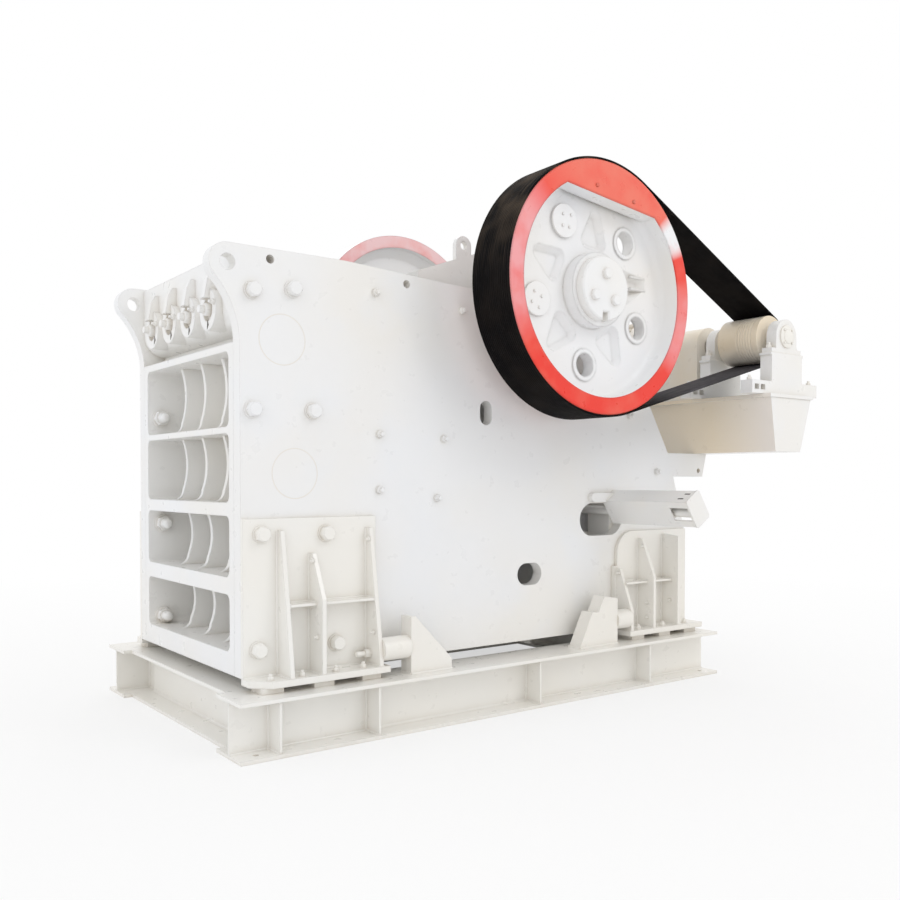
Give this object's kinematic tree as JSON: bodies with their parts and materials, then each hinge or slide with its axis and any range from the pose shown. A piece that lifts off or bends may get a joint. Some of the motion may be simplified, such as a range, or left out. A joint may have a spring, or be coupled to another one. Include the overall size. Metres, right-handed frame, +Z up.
{
  "type": "jaw crusher",
  "caption": "Single-toggle jaw crusher on a steel beam base, with a rear motor driving a lobed flywheel by one wide belt.",
  "frame": {"origin": "on the underside of the base frame, at the middle of its four anchor bolts", "axes": "+X from the fixed jaw towards the motor, +Y away from the belt side, +Z up"},
  "size_m": [4.33, 2.966, 3.3183],
  "materials": {
    "white_paint": "glossy off-white enamel over cast and welded steel",
    "wheel_paint": "glossy off-white enamel, orange-red ring on the rim",
    "pulley_paint": "cream paint",
    "belt_rubber": "ribbed black rubber",
    "buffer_rubber": "rubber with paint overspray",
    "manganese_steel": "cast wear steel",
    "machined_steel": "turned steel"
  },
  "bodies": {
    "frame": {"base_beam_far": "white_paint", "base_beam_front": "white_paint", "base_beam_near": "white_paint", "base_beam_rear": "white_paint", "base_stops": "white_paint", "bearing_housing_far": "white_paint", "bearing_housing_near": "white_paint", "bearing_pedestals": "white_paint", "cheek_plates": "manganese_steel", "coupling_guard": "white_paint", "drive_belt": "belt_rubber", "fixed_jaw_die": "manganese_steel", "front_bracket_far": "white_paint", "front_bracket_near": "white_paint", "front_frame": "white_paint", "motor": "white_paint", "motor_base": "white_paint", "motor_base_arms": "white_paint", "mount_pads": "buffer_rubber", "rear_bracket_far": "white_paint", "rear_bracket_near": "white_paint", "rear_frame": "white_paint", "rubber_buffers": "buffer_rubber", "side_plate_far": "white_paint", "side_plate_near": "white_paint", "toggle_plate": "white_paint", "toggle_wedges": "white_paint", "wedge_cover_far": "white_paint", "wedge_cover_near": "white_paint", "wedge_cylinders": "machined_steel"},
    "main_shaft": {"eccentric_shaft": "machined_steel", "drive_flywheel": "wheel_paint", "balance_flywheel": "wheel_paint", "hub_covers": "white_paint", "wheel_covers": "white_paint"},
    "pitman": {"pitman": "white_paint", "moving_jaw_die": "manganese_steel"},
    "motor_pulley": {"motor_pulley": "pulley_paint", "coupling": "pulley_paint"}
  },
  "joints": [
    {"name": "main_shaft_spin", "type": "hinge", "parent": "frame", "child": "main_shaft", "pos_m": [0.442, 0, 2.542], "axis": [0, 1, 0], "continuous": true},
    {"name": "pitman_swing", "type": "hinge", "parent": "main_shaft", "child": "pitman", "pos_m": [0.442, 0, 2.526], "axis": [0, 1, 0], "continuous": true},
    {"name": "motor_pulley_spin", "type": "hinge", "parent": "frame", "child": "motor_pulley", "pos_m": [2.102, 0, 2.385], "axis": [0, 1, 0], "continuous": true}
  ],
  "couplings": [
    {"joint": "pitman_swing", "follows": "main_shaft_spin", "ratio": -1},
    {"joint": "motor_pulley_spin", "follows": "main_shaft_spin", "ratio": 4.4968}
  ]
}
